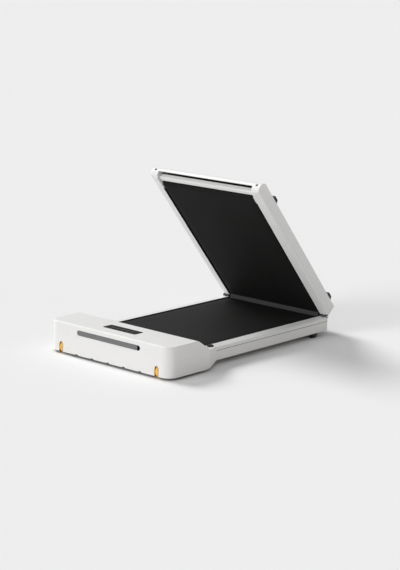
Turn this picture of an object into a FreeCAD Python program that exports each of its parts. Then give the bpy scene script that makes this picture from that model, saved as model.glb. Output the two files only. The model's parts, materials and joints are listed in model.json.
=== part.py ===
import FreeCAD, Part
import math
import os

# Folding walking pad, stood half folded. Millimetres, +X right, +Y towards the fold, +Z up.
# It is built with the housing's front face at y = 0 and the floor at z = 0. The rear half is
# built lying flat and then tipped up about the fold axis. Last of all the whole pad is moved so
# that its origin is the middle of its footprint on the floor.

# Whole pad
overall_width = 518.0
hinge_reach = 828.0
fold_angle = 131.0
fold_gap = 11.0
hinge_rise = 1.0

# Fits shared by many pieces
clearance = 0.3
running_fit = 0.05
overrun = 6.0
touch_share = 0.001

# Side rails, hollow extrusions whose tops fall outwards
rail_clearance = 17.0
rail_height = 46.0
rail_width = 30.0
rail_side_inset = 29.0
rail_wall = 2.4
rail_drop = 3.7
rail_edge_radius = 4.0
rail_corner_radius = 1.2
rail_pulley_gap = 8.5
rail_end_gap = 0.6
rail_groove_drop = 14.5
rail_groove_width = 1.6
rail_groove_depth = 0.8

# Walking belt, deck boards and rollers
belt_thickness = 2.0
belt_inset = 5.0
bridge_reach = 12.0
bridge_thickness = 1.5
bridge_clearance = 0.9
deck_thickness = 16.0
deck_side_gap = 0.5
deck_roller_gap = 6.0
return_gap = 1.2
roller_wall = 2.5
roller_overhang = 1.0
roller_end_gap = 0.6
bearing_width = 10.0
drive_roller_reach = 150.0
drive_shaft_radius = 6.0
tail_axle_radius = 7.0

# Cross members and underside panels
member_gap = 3.3
member_depth = 30.0
member_wall = 2.0
member_shares = (0.1, 0.5, 0.9)
panel_thickness = 1.2

# Fold hinge in each rail end
knuckle_count = 3
knuckle_radius = 6.0
knuckle_gap = 1.0
knuckle_side_gap = 0.4
hinge_pin_radius = 3.0
leaf_length = 55.0
leaf_top_gap = 1.3

# Motor housing cover
housing_height = 105.0
cover_clearance = 8.0
cover_wall = 3.0
cover_corner_radius = 33.5
cover_edge_radius = 4.0
cover_top_depth = 130.0
cover_slope_depth = 55.0
cover_lip_rise = 11.0
cover_lip_length = 10.0
cover_cheek_length = 65.0
cover_cheek_drop = 1.0
cover_cheek_radius = 10.0
cover_belly_reach = 165.0
cover_notch_width = 10.0
cover_notch_height = 3.0
cover_notch_spacing = 68.0
cover_notch_count = 5

# Housing base pan
base_thickness = 3.0
base_tail_end = 236.0
boss_radius = 5.0
boss_side_inset = 19.0
boss_switch_gap = 10.0
boss_inlet_gap = 5.0
cover_screw_radius = 2.0
cover_screw_head_radius = 4.0
cover_screw_head_height = 2.0
cover_screw_length = 14.0
cover_screw_hole_spare = 6.0

# Display in the housing's top
display_width = 140.0
display_depth = 42.0
display_reach = 67.0
display_corner_radius = 7.0
display_board_margin = 8.0
display_board_thickness = 1.6

# Light bar in the housing's front
slot_width = 270.0
slot_height = 16.5
slot_drop = 23.5
slot_recess = 1.0
slot_flange = 3.0
slot_flange_thickness = 2.0
slot_round_share = 0.98
receiver_width = 12.0

# Transport wheels at the front corners
wheel_side_inset = 54.0
wheel_radius = 21.0
wheel_width = 14.0
wheel_crown = 3.0
wheel_floor_gap = 1.0
wheel_proud = 1.0
wheel_axle_radius = 4.0
wheel_side_gap = 0.6
wheel_hub_radius = 9.0
wheel_dish_radius = 16.0
wheel_dish_depth = 2.5
wheel_slot_gap = 1.9
wheel_slot_rise = 18.0
wheel_well_gap = 3.0
fork_thickness = 3.0
fork_depth = 26.0
fork_top_margin = 9.0

# Steel side plates that carry the roller shaft
plate_thickness = 4.0
plate_start = 60.0
plate_end = 330.0
plate_margin = 3.0

# Motor, pulleys and drive belt
motor_reach = 62.0
motor_base_gap = 2.5
motor_top_gap = 14.9
motor_wall = 3.0
motor_pulley_gap = 15.0
motor_middle_gap = 35.0
armature_gap = 1.0
armature_end_gap = 4.0
motor_shaft_radius = 5.0
motor_pulley_radius = 11.0
pulley_floor_gap = 2.2
pulley_width = 13.0
pulley_flange = 2.0
pulley_sleeve_length = 5.0
pulley_sleeve_radius = 13.0
drive_belt_width = 8.0
drive_belt_thickness = 2.5
saddle_width = 10.0
saddle_depth = 54.0
saddle_inset = 20.0
saddle_rise = 22.0

# Control board
board_middle_gap = 40.0
board_side_gap = 69.0
board_front = 18.0
board_back = 106.0
board_rise = 6.0
board_thickness = 1.6
board_post_radius = 3.5
board_post_inset = 8.0
sink_width = 66.0
sink_depth = 30.0
sink_height = 30.0
sink_base = 4.0
sink_fin = 2.0
sink_fin_count = 8
sink_margin = 14.0
capacitor_radius = 11.0
capacitor_height = 32.0
capacitor_count = 3
capacitor_spacing = 27.0
capacitor_reach_share = 0.3

# Mains inlet and rocker switch in the housing's left side
switch_reach = 72.0
socket_gap = 4.0
socket_level = 45.0
flange_thickness = 1.5
inlet_flange_margin = 3.0
inlet_body_length = 28.0
inlet_body_height = 20.0
inlet_wall = 1.8
inlet_depth = 22.0
inlet_floor = 4.0
pin_thickness = 2.0
pin_width = 4.0
pin_length = 10.0
pin_pitch = 7.0
pin_offset = 2.0
switch_flange_end_margin = 2.5
switch_flange_side_margin = 2.0
switch_end_wall = 1.3
switch_side_wall = 2.2
switch_depth = 15.0
rocker_length = 18.0
rocker_height = 10.0
rocker_face_inset = 1.6
rocker_dip = 1.2
rocker_pivot_inset = 8.5
rocker_depth = 4.0
rocker_tilt = 8.0
rocker_base_share = 0.5
rocker_room = 2.2
trunnion_radius = 1.5
trunnion_length = 1.5

# Feet and fold bumpers
housing_foot_radius = 14.0
housing_foot_taper = 2.0
housing_foot_side_inset = 129.0
housing_foot_front_reach = 46.0
housing_foot_rear_gap = 1.0
rail_foot_length = 28.0
rail_foot_width = 22.0
rail_foot_taper = 4.0
front_foot_inset = 60.0
rear_foot_inset = 42.0
tail_foot_inset = 100.0
bumper_length = 16.0
bumper_width = 16.0
bumper_height = 4.5
bumper_lip_gap = 33.0

# Tail of the rear half
cap_axle_gap = 3.0
cap_top_radius = 22.5
cap_bottom_radius = 22.5
cap_wall = 3.0
cap_plug_length = 14.0
cap_plug_gap = 0.4
guard_recess = 18.5
guard_depth = 15.0
guard_height = 17.5
guard_drop = 7.5
guard_radius = 5.0
guard_inner_radius = 1.5
guard_belt_gap = 1.7
tail_cover_drop = 20.0
tail_cover_wall = 3.0
tail_lip_length = 38.0
block_thickness = 4.4
block_fold_reach = 12.0
block_tail_reach = 19.5
block_bottom_reach = 13.0
block_top_gap = 1.0
block_radius = 4.0
tension_bolt_radius = 3.0
tension_head_radius = 4.6
tension_head_length = 6.0
tension_head_recess = 3.0
tension_thread_length = 10.0
tension_key_radius = 2.4
tension_key_depth = 3.0
axle_travel = 6.0

# Levels and places across the pad that follow from the sizes above
housing_side = overall_width / 2
rail_top = rail_clearance + rail_height
rail_outer = housing_side - rail_side_inset
rail_inner = rail_outer - rail_width
rail_middle = rail_inner + rail_width / 2
hinge_level = rail_top + hinge_rise
belt_top = rail_top - belt_inset
belt_under = belt_top - belt_thickness
return_under = rail_clearance + panel_thickness + return_gap
return_top = return_under + belt_thickness
belt_inner_radius = (belt_under - return_top) / 2
belt_outer_radius = belt_inner_radius + belt_thickness
roller_radius = belt_inner_radius - clearance
roller_level = belt_under - belt_inner_radius
roller_half = rail_inner - block_thickness - roller_end_gap
belt_width = 2 * (roller_half - roller_overhang)
deck_top = belt_under - clearance
deck_under = deck_top - deck_thickness
member_height = deck_under - return_top - member_gap
plate_outer = rail_outer - rail_wall
plate_inner = plate_outer - plate_thickness
leaf_top = rail_top - rail_drop - rail_edge_radius - leaf_top_gap

# Places in the housing that follow
base_top = cover_clearance + base_thickness
cheek_inner = rail_outer + clearance
cover_slope_end = cover_top_depth + cover_slope_depth
cover_slope_level = belt_top + cover_lip_rise
cover_lip_reach = cover_slope_end + cover_lip_length
cover_cheek_end = cover_slope_end + cover_cheek_length
cover_cheek_level = rail_top - cover_cheek_drop
slot_level = housing_height - slot_drop
wheel_middle = housing_side - wheel_side_inset
wheel_level = wheel_floor_gap + wheel_radius
wheel_reach = wheel_radius - wheel_proud
wheel_slot_width = wheel_width + 2 * wheel_slot_gap
wheel_slot_top = wheel_level + wheel_slot_rise
drive_pulley_radius = roller_level - base_top - pulley_floor_gap - drive_belt_thickness
pulley_end_x = -(roller_half + pulley_sleeve_length)
pulley_middle_x = pulley_end_x - pulley_width / 2
motor_room = housing_height - cover_wall - display_board_thickness - base_top
motor_radius = (motor_room - motor_top_gap - motor_base_gap) / 2
motor_level = base_top + motor_base_gap + motor_radius
motor_start_x = pulley_end_x + motor_pulley_gap
motor_end_x = -motor_middle_gap
board_start_x = board_middle_gap
board_end_x = housing_side - board_side_gap
inlet_flange_length = inlet_body_length + 2 * inlet_flange_margin
inlet_flange_height = inlet_body_height + 2 * inlet_flange_margin
switch_body_length = rocker_length + 2 * rocker_room + 2 * switch_end_wall
switch_body_height = rocker_height + 2 * clearance + 2 * switch_side_wall
switch_flange_length = switch_body_length + 2 * switch_flange_end_margin
switch_flange_height = switch_body_height + 2 * switch_flange_side_margin
inlet_reach = switch_reach + (switch_flange_length + inlet_flange_length) / 2 + socket_gap
boss_half_spread = housing_side - boss_side_inset
boss_front_reach = switch_reach - switch_flange_length / 2 - boss_switch_gap - boss_radius
boss_rear_reach = inlet_reach + inlet_flange_length / 2 + boss_inlet_gap + boss_radius
housing_foot_half_spread = housing_side - housing_foot_side_inset
housing_foot_rear_reach = cover_belly_reach - housing_foot_radius - housing_foot_rear_gap

# Places along the pad that follow
rail_start = drive_roller_reach + drive_pulley_radius + drive_belt_thickness + rail_pulley_gap
bumper_reach = cover_lip_reach + bumper_lip_gap + bumper_length / 2
tail_end = 2 * hinge_reach - cover_lip_reach - fold_gap
guard_end = tail_end - guard_recess
guard_start = guard_end - guard_depth
guard_top = rail_top - guard_drop
guard_under = guard_top - guard_height
tail_roller_reach = guard_start - guard_belt_gap - belt_outer_radius
cap_start = tail_roller_reach - tail_axle_radius - cap_axle_gap
front_deck_start = drive_roller_reach + roller_radius + deck_roller_gap
front_deck_end = hinge_reach - bridge_reach
rear_deck_start = hinge_reach + bridge_reach
rear_deck_end = tail_roller_reach - roller_radius - deck_roller_gap

ALONG_X = FreeCAD.Vector(1, 0, 0)
ALONG_Y = FreeCAD.Vector(0, 1, 0)
ALONG_Z = FreeCAD.Vector(0, 0, 1)
SIDES = {"left": -1, "right": 1}


# Shape helpers

def point(x, y, z):
    return FreeCAD.Vector(x, y, z)


def box(x0, x1, y0, y1, z0, z1):
    return Part.makeBox(x1 - x0, y1 - y0, z1 - z0, point(x0, y0, z0))


def rod_x(radius, x0, x1, y, z):
    return Part.makeCylinder(radius, x1 - x0, point(x0, y, z), ALONG_X)


def rod_y(radius, y0, y1, x, z):
    return Part.makeCylinder(radius, y1 - y0, point(x, y0, z), ALONG_Y)


def rod_z(radius, z0, z1, x, y):
    return Part.makeCylinder(radius, z1 - z0, point(x, y, z0), ALONG_Z)


def side_view(x):
    """Puts an outline's (a, b) at (y, z) in the plane of this x."""
    return lambda a, b: point(x, a, b)


def front_view(y):
    """Puts an outline's (a, b) at (x, z) in the plane of this y."""
    return lambda a, b: point(a, y, b)


def plan_view(z):
    """Puts an outline's (a, b) at (x, y) in the plane of this z."""
    return lambda a, b: point(a, b, z)


def rounded(corners, place):
    """Face inside the corners (a, b, radius), each radius a tangent arc."""
    flat = [FreeCAD.Vector(a, b, 0) for a, b, radius in corners]
    bends = []
    for i, (a, b, radius) in enumerate(corners):
        before = (flat[i - 1] - flat[i]).normalize()
        after = (flat[(i + 1) % len(flat)] - flat[i]).normalize()
        half_angle = before.getAngle(after) / 2
        reach = radius / math.tan(half_angle)
        middle = flat[i] + (before + after).normalize() * (radius / math.sin(half_angle) - radius)
        bends.append((flat[i] + before * reach, middle, flat[i] + after * reach, radius))
    edges = []
    for i, (start, middle, end, radius) in enumerate(bends):
        if radius > 0:
            arc = [place(p.x, p.y) for p in (start, middle, end)]
            edges.append(Part.Arc(*arc).toShape())
        following = bends[(i + 1) % len(bends)][0]
        if end.distanceToPoint(following) > touch_share * rail_wall:
            edges.append(Part.LineSegment(place(end.x, end.y), place(following.x, following.y)).toShape())
    return Part.Face(Part.Wire(edges))


def inset(corners, distance):
    """The corners of an outline, listed anticlockwise, moved inwards by a wall's thickness."""
    moved = []
    for i, (a, b, radius) in enumerate(corners):
        here = FreeCAD.Vector(a, b, 0)
        before = (here - FreeCAD.Vector(*corners[i - 1][:2], 0)).normalize()
        after = (FreeCAD.Vector(*corners[(i + 1) % len(corners)][:2], 0) - here).normalize()
        inward = FreeCAD.Vector(-before.y - after.y, before.x + after.x, 0).normalize()
        half_turn = before.getAngle(after) / 2
        here = here + inward * (distance / math.cos(half_turn))
        moved.append((here.x, here.y, max(radius - distance, 0)))
    return moved


def across(corners, x0, x1):
    """Solid of a side view outline between two places along X."""
    return rounded(corners, side_view(x0)).extrude(ALONG_X * (x1 - x0))


def upright(corners, z0, z1):
    """Solid of a plan outline between two levels."""
    return rounded(corners, plan_view(z0)).extrude(ALONG_Z * (z1 - z0))


def lengthwise(corners, y0, y1):
    """Solid of a front view outline between two places along Y."""
    return rounded(corners, front_view(y0)).extrude(ALONG_Y * (y1 - y0))


def oblong(a0, a1, b0, b1, radius):
    """Corners of a rectangle with round corners, anticlockwise."""
    return [(a0, b0, radius), (a1, b0, radius), (a1, b1, radius), (a0, b1, radius)]


def tapered_block(x, y, z_floor, z_top, length, width, taper):
    """Block that is narrower at the floor, with its wide end up."""
    wires = []
    for z, trim in ((z_floor, taper), (z_top, 0)):
        half_x = width / 2 - trim
        half_y = length / 2 - trim
        ring = [point(x + a * half_x, y + b * half_y, z) for a, b in ((-1, -1), (1, -1), (1, 1), (-1, 1))]
        wires.append(Part.makePolygon(ring + ring[:1]))
    return Part.makeLoft(wires, True, True)


def on_side(shape, side):
    """A piece modelled on the right, or its mirror image on the left."""
    return shape if side > 0 else shape.mirror(point(0, 0, 0), ALONG_X)


def both_sides(shape):
    return Part.makeCompound([shape, on_side(shape, -1)])


def one_solid(*shapes):
    return shapes[0].fuse(list(shapes[1:])).removeSplitter()


def tipped_up(shape):
    return shape.rotated(point(0, hinge_reach, hinge_level), ALONG_X, fold_angle)


def mirrored_at_fold(shape):
    """A piece of the front half's fold end, as its counterpart on the rear half lying flat."""
    return shape.mirror(point(0, hinge_reach, 0), ALONG_Y)


# Rails, deck and what joins them, alike in both halves

def rail_section():
    return [
        (rail_inner, rail_clearance, rail_corner_radius),
        (rail_outer, rail_clearance, rail_corner_radius),
        (rail_outer, rail_top - rail_drop, rail_edge_radius),
        (rail_inner, rail_top, rail_corner_radius),
    ]


def rail_groove(y0, y1):
    middle = rail_top - rail_groove_drop
    half = rail_groove_width / 2
    return box(rail_outer - rail_groove_depth, rail_outer + overrun, y0, y1, middle - half, middle + half)


def rail(y0, y1):
    """Right rail between two places, hollow, with the line along its side."""
    solid = lengthwise(rail_section(), y0, y1)
    hollow = lengthwise(inset(rail_section(), rail_wall), y0 - overrun, y1 + overrun)
    return solid.cut([hollow, rail_groove(y0 - overrun, y1 + overrun)])


def knuckle_slot():
    """Opening in the top of the front half's right rail for the hinge knuckles."""
    reach = knuckle_radius + knuckle_gap
    return box(
        rail_inner + rail_wall, rail_outer - rail_wall,
        hinge_reach - reach, hinge_reach + overrun,
        leaf_top, rail_top + overrun,
    )


def front_rail():
    return rail(rail_start, hinge_reach - rail_end_gap).cut(knuckle_slot())


def rear_rail():
    return rail(hinge_reach + rail_end_gap, cap_start).cut(mirrored_at_fold(knuckle_slot()))


def knuckle_spans():
    """The places along X that the knuckles of one hinge share out."""
    start = rail_inner + rail_wall + clearance
    room = rail_width - 2 * rail_wall - 2 * clearance
    length = (room - (knuckle_count - 1) * knuckle_side_gap) / knuckle_count
    return [(start + i * (length + knuckle_side_gap), length) for i in range(knuckle_count)]


def hinge_leaf(spans):
    """Right leaf of the front half: a block in the rail's end and the arms of its knuckles."""
    end = hinge_reach - rail_end_gap
    block = box(
        rail_inner + rail_wall, rail_outer - rail_wall - clearance,
        end - leaf_length, end,
        rail_clearance + rail_wall, leaf_top,
    )
    pieces = [block]
    for start, length in spans:
        arm_start = hinge_reach - knuckle_radius
        pieces.append(box(start, start + length, arm_start, end, leaf_top - knuckle_gap, hinge_level))
        pieces.append(rod_x(knuckle_radius, start, start + length, hinge_reach, hinge_level))
    bore = rod_x(hinge_pin_radius + running_fit, rail_inner, rail_outer, hinge_reach, hinge_level)
    return one_solid(*pieces).cut(bore)


def front_hinge_leaf():
    return hinge_leaf(knuckle_spans()[0::2])


def rear_hinge_leaf():
    return mirrored_at_fold(hinge_leaf(knuckle_spans()[1::2]))


def hinge_pin():
    spans = knuckle_spans()
    last_start, length = spans[-1]
    return rod_x(hinge_pin_radius, spans[0][0], last_start + length, hinge_reach, hinge_level)


def deck_board(y0, y1):
    half = rail_inner - deck_side_gap
    return box(-half, half, y0, y1, deck_under, deck_top)


def cross_members(y0, y1):
    """Tubes from rail to rail under a deck board."""
    tubes = []
    for share in member_shares:
        start = y0 + share * (y1 - y0) - member_depth / 2
        tube = box(-rail_inner, rail_inner, start, start + member_depth, deck_under - member_height, deck_under)
        bore = box(
            -rail_inner - overrun, rail_inner + overrun,
            start + member_wall, start + member_depth - member_wall,
            deck_under - member_height + member_wall, deck_under - member_wall,
        )
        tubes.append(tube.cut(bore))
    return Part.makeCompound(tubes)


def underside_panel(y0, y1):
    half = rail_inner - clearance
    return box(-half, half, y0, y1, rail_clearance, rail_clearance + panel_thickness)


def rail_foot(y):
    return tapered_block(rail_middle, y, 0, rail_clearance, rail_foot_length, rail_foot_width, rail_foot_taper)


def fold_bumper():
    """Rubber pad on the rail's sloping top, where the folded tail comes to rest."""
    pad = box(
        rail_middle - bumper_width / 2, rail_middle + bumper_width / 2,
        bumper_reach - bumper_length / 2, bumper_reach + bumper_length / 2,
        rail_top - rail_drop, rail_top + bumper_height,
    )
    return pad.cut(lengthwise(rail_section(), rail_start, hinge_reach))


# Walking belt, its two rollers and their shafts

def belt_half(roller_reach, end_reach, turn_sign):
    """The belt of one half: two straight runs and the half turn round its roller."""
    half = belt_width / 2
    y0 = min(roller_reach, end_reach)
    y1 = max(roller_reach, end_reach)
    ring = rod_x(belt_outer_radius, -half, half, roller_reach, roller_level)
    ring = ring.cut(rod_x(belt_inner_radius, -half - overrun, half + overrun, roller_reach, roller_level))
    room = belt_outer_radius + overrun
    far = roller_reach + turn_sign * room
    turn = ring.common(box(
        -half, half,
        min(roller_reach, far), max(roller_reach, far),
        roller_level - room, roller_level + room,
    ))
    upper = box(-half, half, y0, y1, belt_under, belt_top)
    lower = box(-half, half, y0, y1, return_under, return_top)
    return one_solid(turn, upper, lower)


def belt_bridge():
    """Strip of belt that spans the inside corner of the fold."""
    low = point(0, front_deck_end, belt_top)
    high = point(0, rear_deck_start, belt_top)
    high = Part.Vertex(high).rotated(point(0, hinge_reach, hinge_level), ALONG_X, fold_angle).Point
    along = (high - low).normalize()
    back = along.cross(ALONG_X)
    low = low + along * bridge_clearance
    high = high - along * bridge_clearance
    ring = [low, low + back * bridge_thickness, high + back * bridge_thickness, high]
    half = belt_width / 2
    face = Part.Face(Part.makePolygon(ring + ring[:1]))
    face.translate(ALONG_X * -half)
    return face.extrude(ALONG_X * belt_width)


def belt_wrap():
    """Return run of the belt, stretched round the outside of the fold."""
    half = belt_width / 2
    ring = [
        point(-half, hinge_reach, return_under), point(half, hinge_reach, return_under),
        point(half, hinge_reach, return_top), point(-half, hinge_reach, return_top),
    ]
    face = Part.Face(Part.makePolygon(ring + ring[:1]))
    return face.revolve(point(0, hinge_reach, hinge_level), ALONG_X, fold_angle)


def roller_tube(reach):
    tube = rod_x(roller_radius, -roller_half, roller_half, reach, roller_level)
    bore = rod_x(
        roller_radius - roller_wall, -roller_half - overrun, roller_half + overrun, reach, roller_level,
    )
    return tube.cut(bore)


def roller_bearings(reach, shaft_radius):
    """Bearing pushed into each end of a roller tube."""
    ring = rod_x(roller_radius - roller_wall, roller_half - bearing_width, roller_half, reach, roller_level)
    bore = rod_x(shaft_radius + running_fit, 0, roller_half + overrun, reach, roller_level)
    return both_sides(ring.cut(bore))


def drive_roller_shaft():
    return rod_x(drive_shaft_radius, -plate_outer, plate_outer, drive_roller_reach, roller_level)


def drive_pulley():
    """Grooved wheel on the left end of the drive roller, clear of the fixed shaft."""
    wheel = flanged_pulley(drive_pulley_radius, drive_roller_reach, roller_level)
    sleeve = rod_x(pulley_sleeve_radius, pulley_end_x, -roller_half, drive_roller_reach, roller_level)
    bore = rod_x(
        drive_shaft_radius + running_fit,
        pulley_end_x - pulley_width - overrun, -roller_half + overrun,
        drive_roller_reach, roller_level,
    )
    return one_solid(wheel, sleeve).cut(bore)


def flanged_pulley(radius, y, z):
    """Pulley in the drive belt's plane, with a rim on each side of the belt."""
    x0 = pulley_end_x - pulley_width
    wheel = rod_x(radius, x0, pulley_end_x, y, z)
    rim = radius + drive_belt_thickness
    left_rim = rod_x(rim, x0, x0 + pulley_flange, y, z)
    right_rim = rod_x(rim, pulley_end_x - pulley_flange, pulley_end_x, y, z)
    return one_solid(wheel, left_rim, right_rim)


# Motor housing: cover, base pan and what shows in them

def housing_profile(bottom_drop):
    """Side view of the housing, anticlockwise, with its bottom edge lowered by the drop."""
    return [
        (0, cover_clearance - bottom_drop, 0),
        (cover_belly_reach, cover_clearance - bottom_drop, 0),
        (cover_cheek_end, rail_clearance - bottom_drop, 0),
        (cover_cheek_end, cover_cheek_level, 0),
        (cover_slope_end, cover_slope_level, 0),
        (cover_top_depth, housing_height, 0),
        (0, housing_height, 0),
    ]


def housing_plan():
    return [
        (-housing_side, 0, cover_corner_radius),
        (housing_side, 0, cover_corner_radius),
        (housing_side, cover_slope_end, cover_cheek_radius),
        (cheek_inner, cover_cheek_end, 0),
        (-cheek_inner, cover_cheek_end, 0),
        (-housing_side, cover_slope_end, cover_cheek_radius),
    ]


def housing_form(wall):
    """The housing's outer form, or the room inside a wall of this thickness, open below."""
    bottom_drop = wall + overrun if wall else 0
    profile = inset(housing_profile(bottom_drop), wall)
    plan = inset(housing_plan(), wall)
    return across(profile, -housing_side, housing_side).common(
        upright(plan, -overrun, housing_height + overrun))


def top_edges(form):
    """Edges round the flat top of the housing."""
    level = housing_height - touch_share * cover_wall
    return [edge for edge in form.Edges if all(v.Z > level for v in edge.Vertexes)]


def cover_bosses(form):
    """Screw posts that hang from the cover's top down to the base pan."""
    posts = []
    for y in (boss_front_reach, boss_rear_reach):
        posts.append(rod_z(boss_radius, base_top + clearance, housing_height, boss_half_spread, y))
    return both_sides(Part.makeCompound(posts)).common(form)


def cover_screw_places():
    return [(side * boss_half_spread, y) for side in SIDES.values() for y in (boss_front_reach, boss_rear_reach)]


def cover_openings():
    """Everything cut through the cover's walls."""
    cuts = [
        upright(display_corners(clearance), housing_height - cover_wall - overrun, housing_height + overrun),
        lengthwise(slot_corners(clearance), -overrun, cover_wall + overrun),
    ]
    for side in SIDES.values():
        middle = side * wheel_middle
        half = wheel_slot_width / 2
        corners = [
            (middle - half, -overrun, 0), (middle + half, -overrun, 0),
            (middle + half, wheel_slot_top, half), (middle - half, wheel_slot_top, half),
        ]
        cuts.append(lengthwise(corners, -overrun, cover_wall + overrun))
    for i in range(cover_notch_count):
        middle = (i - (cover_notch_count - 1) / 2) * cover_notch_spacing
        half = cover_notch_width / 2
        top = cover_clearance + cover_notch_height
        cuts.append(box(middle - half, middle + half, -overrun, cover_wall + overrun, -overrun, top))
    for x, y in cover_screw_places():
        hole_end = base_top + cover_screw_length + cover_screw_hole_spare
        cuts.append(rod_z(cover_screw_radius, cover_clearance, hole_end, x, y))
    cuts.append(side_pocket(inlet_reach, inlet_flange_length, inlet_flange_height, flange_thickness))
    cuts.append(side_pocket(inlet_reach, inlet_body_length, inlet_body_height, cover_wall + overrun))
    cuts.append(side_pocket(switch_reach, switch_flange_length, switch_flange_height, flange_thickness))
    cuts.append(side_pocket(switch_reach, switch_body_length, switch_body_height, cover_wall + overrun))
    return cuts


def side_pocket(reach, length, height, depth):
    """Hole of this depth in the cover's left side, with room for the piece that fits in it."""
    return side_block(reach, length + 2 * clearance, height + 2 * clearance, -overrun, depth)


def side_block(reach, length, height, start, end):
    """Block in the cover's left side between two depths below its face."""
    return box(
        -housing_side + start, -housing_side + end,
        reach - length / 2, reach + length / 2,
        socket_level - height / 2, socket_level + height / 2,
    )


def housing_cover():
    form = housing_form(0)
    shell = form.makeFillet(cover_edge_radius, top_edges(form)).cut(housing_form(cover_wall))
    middle = box(
        -cheek_inner, cheek_inner, cover_lip_reach, cover_cheek_end + overrun, -overrun, housing_height,
    )
    shell = one_solid(shell.cut(middle), *cover_bosses(form).Solids)
    return shell.cut(cover_openings())


def wheel_well(side):
    """Room for a transport wheel in the base pan."""
    half = wheel_width / 2 + wheel_side_gap
    middle = side * wheel_middle
    back = wheel_reach + wheel_radius + wheel_well_gap
    return box(middle - half, middle + half, -overrun, back, -overrun, housing_height)


def housing_base():
    """Pan that closes the housing below, rising at its back to the underside panel."""
    gap = cover_wall + clearance
    pan = upright(inset(housing_plan(), gap), cover_clearance, base_top)
    pan = pan.common(box(-housing_side, housing_side, 0, cover_belly_reach, 0, housing_height))
    tail_half = rail_inner - clearance
    tail = across([
        (cover_belly_reach - base_thickness, cover_clearance, 0),
        (cover_belly_reach, cover_clearance, 0),
        (base_tail_end, rail_clearance, 0),
        (base_tail_end, rail_clearance + panel_thickness, 0),
        (cover_belly_reach, base_top, 0),
        (cover_belly_reach - base_thickness, base_top, 0),
    ], -tail_half, tail_half)
    posts = [rod_z(board_post_radius, base_top, base_top + board_rise, x, y) for x, y in board_corners()]
    cuts = [wheel_well(side) for side in SIDES.values()]
    for x, y in cover_screw_places():
        cuts.append(rod_z(cover_screw_radius + running_fit, 0, base_top + overrun, x, y))
    return one_solid(pan, tail, *posts).cut(cuts)


def cover_screws():
    screws = []
    for x, y in cover_screw_places():
        head_start = cover_clearance - cover_screw_head_height
        head = rod_z(cover_screw_head_radius, head_start, cover_clearance, x, y)
        shank = rod_z(cover_screw_radius, cover_clearance, base_top + cover_screw_length, x, y)
        screws.append(one_solid(head, shank))
    return Part.makeCompound(screws)


def display_corners(gap):
    half = display_width / 2 + gap
    half_depth = display_depth / 2 + gap
    return oblong(-half, half, display_reach - half_depth, display_reach + half_depth, display_corner_radius)


def display_window():
    return upright(display_corners(0), housing_height - cover_wall, housing_height)


def display_board():
    top = housing_height - cover_wall
    half = display_width / 2 + display_board_margin
    half_depth = display_depth / 2 + display_board_margin
    return box(
        -half, half, display_reach - half_depth, display_reach + half_depth,
        top - display_board_thickness, top,
    )


def slot_corners(gap):
    half = slot_width / 2 + gap
    half_height = slot_height / 2 + gap
    return oblong(-half, half, slot_level - half_height, slot_level + half_height, slot_round_share * half_height)


def slot_filler():
    """The strip that fills the slot in the front wall, with a flange behind the wall."""
    strip = lengthwise(slot_corners(0), slot_recess, cover_wall)
    flange = lengthwise(slot_corners(slot_flange), cover_wall, cover_wall + slot_flange_thickness)
    return one_solid(strip, flange)


def slot_side(x0, x1):
    return box(x0, x1, -overrun, cover_wall + overrun, 0, housing_height)


def front_light_bar():
    end = slot_width / 2 - receiver_width - clearance / 2
    return slot_filler().common(slot_side(-housing_side, end))


def receiver_window():
    start = slot_width / 2 - receiver_width + clearance / 2
    return slot_filler().common(slot_side(start, housing_side))


# Inside the housing

def side_plate():
    """Right plate, bolted flat against the inside of the rail's outer wall."""
    bottom = rail_clearance + rail_wall + plate_margin
    top = rail_top - rail_drop - rail_wall - rail_edge_radius - plate_margin
    plate = box(plate_inner, plate_outer, plate_start, plate_end, bottom, top)
    bore = rod_x(drive_shaft_radius + running_fit, 0, housing_side, drive_roller_reach, roller_level)
    return plate.cut(bore)


def motor_can():
    """Motor shell with closed ends, bored for its shaft."""
    x0 = motor_start_x
    can = rod_x(motor_radius, x0, motor_end_x, motor_reach, motor_level)
    room = rod_x(
        motor_radius - motor_wall, x0 + motor_wall, motor_end_x - motor_wall, motor_reach, motor_level,
    )
    bore = rod_x(
        motor_shaft_radius + running_fit, x0 - overrun, motor_end_x - motor_wall, motor_reach, motor_level,
    )
    return can.cut([room, bore])


def motor_armature():
    x0 = motor_start_x + motor_wall + armature_end_gap
    x1 = motor_end_x - motor_wall - armature_end_gap
    core = rod_x(motor_radius - motor_wall - armature_gap, x0, x1, motor_reach, motor_level)
    shaft = rod_x(motor_shaft_radius, pulley_end_x - pulley_width, x0, motor_reach, motor_level)
    return one_solid(core, shaft)


def motor_pulley():
    wheel = flanged_pulley(motor_pulley_radius, motor_reach, motor_level)
    bore = rod_x(motor_shaft_radius, -housing_side, 0, motor_reach, motor_level)
    return wheel.cut(bore)


def motor_bracket():
    """Two saddles on the base pan that the motor shell lies in."""
    bed = rod_x(motor_radius + running_fit, -housing_side, 0, motor_reach, motor_level)
    saddles = []
    for x in (motor_start_x + saddle_inset, motor_end_x - saddle_inset - saddle_width):
        block = box(
            x, x + saddle_width,
            motor_reach - saddle_depth / 2, motor_reach + saddle_depth / 2,
            base_top, base_top + saddle_rise,
        )
        saddles.append(block.cut(bed))
    return Part.makeCompound(saddles)


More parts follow.
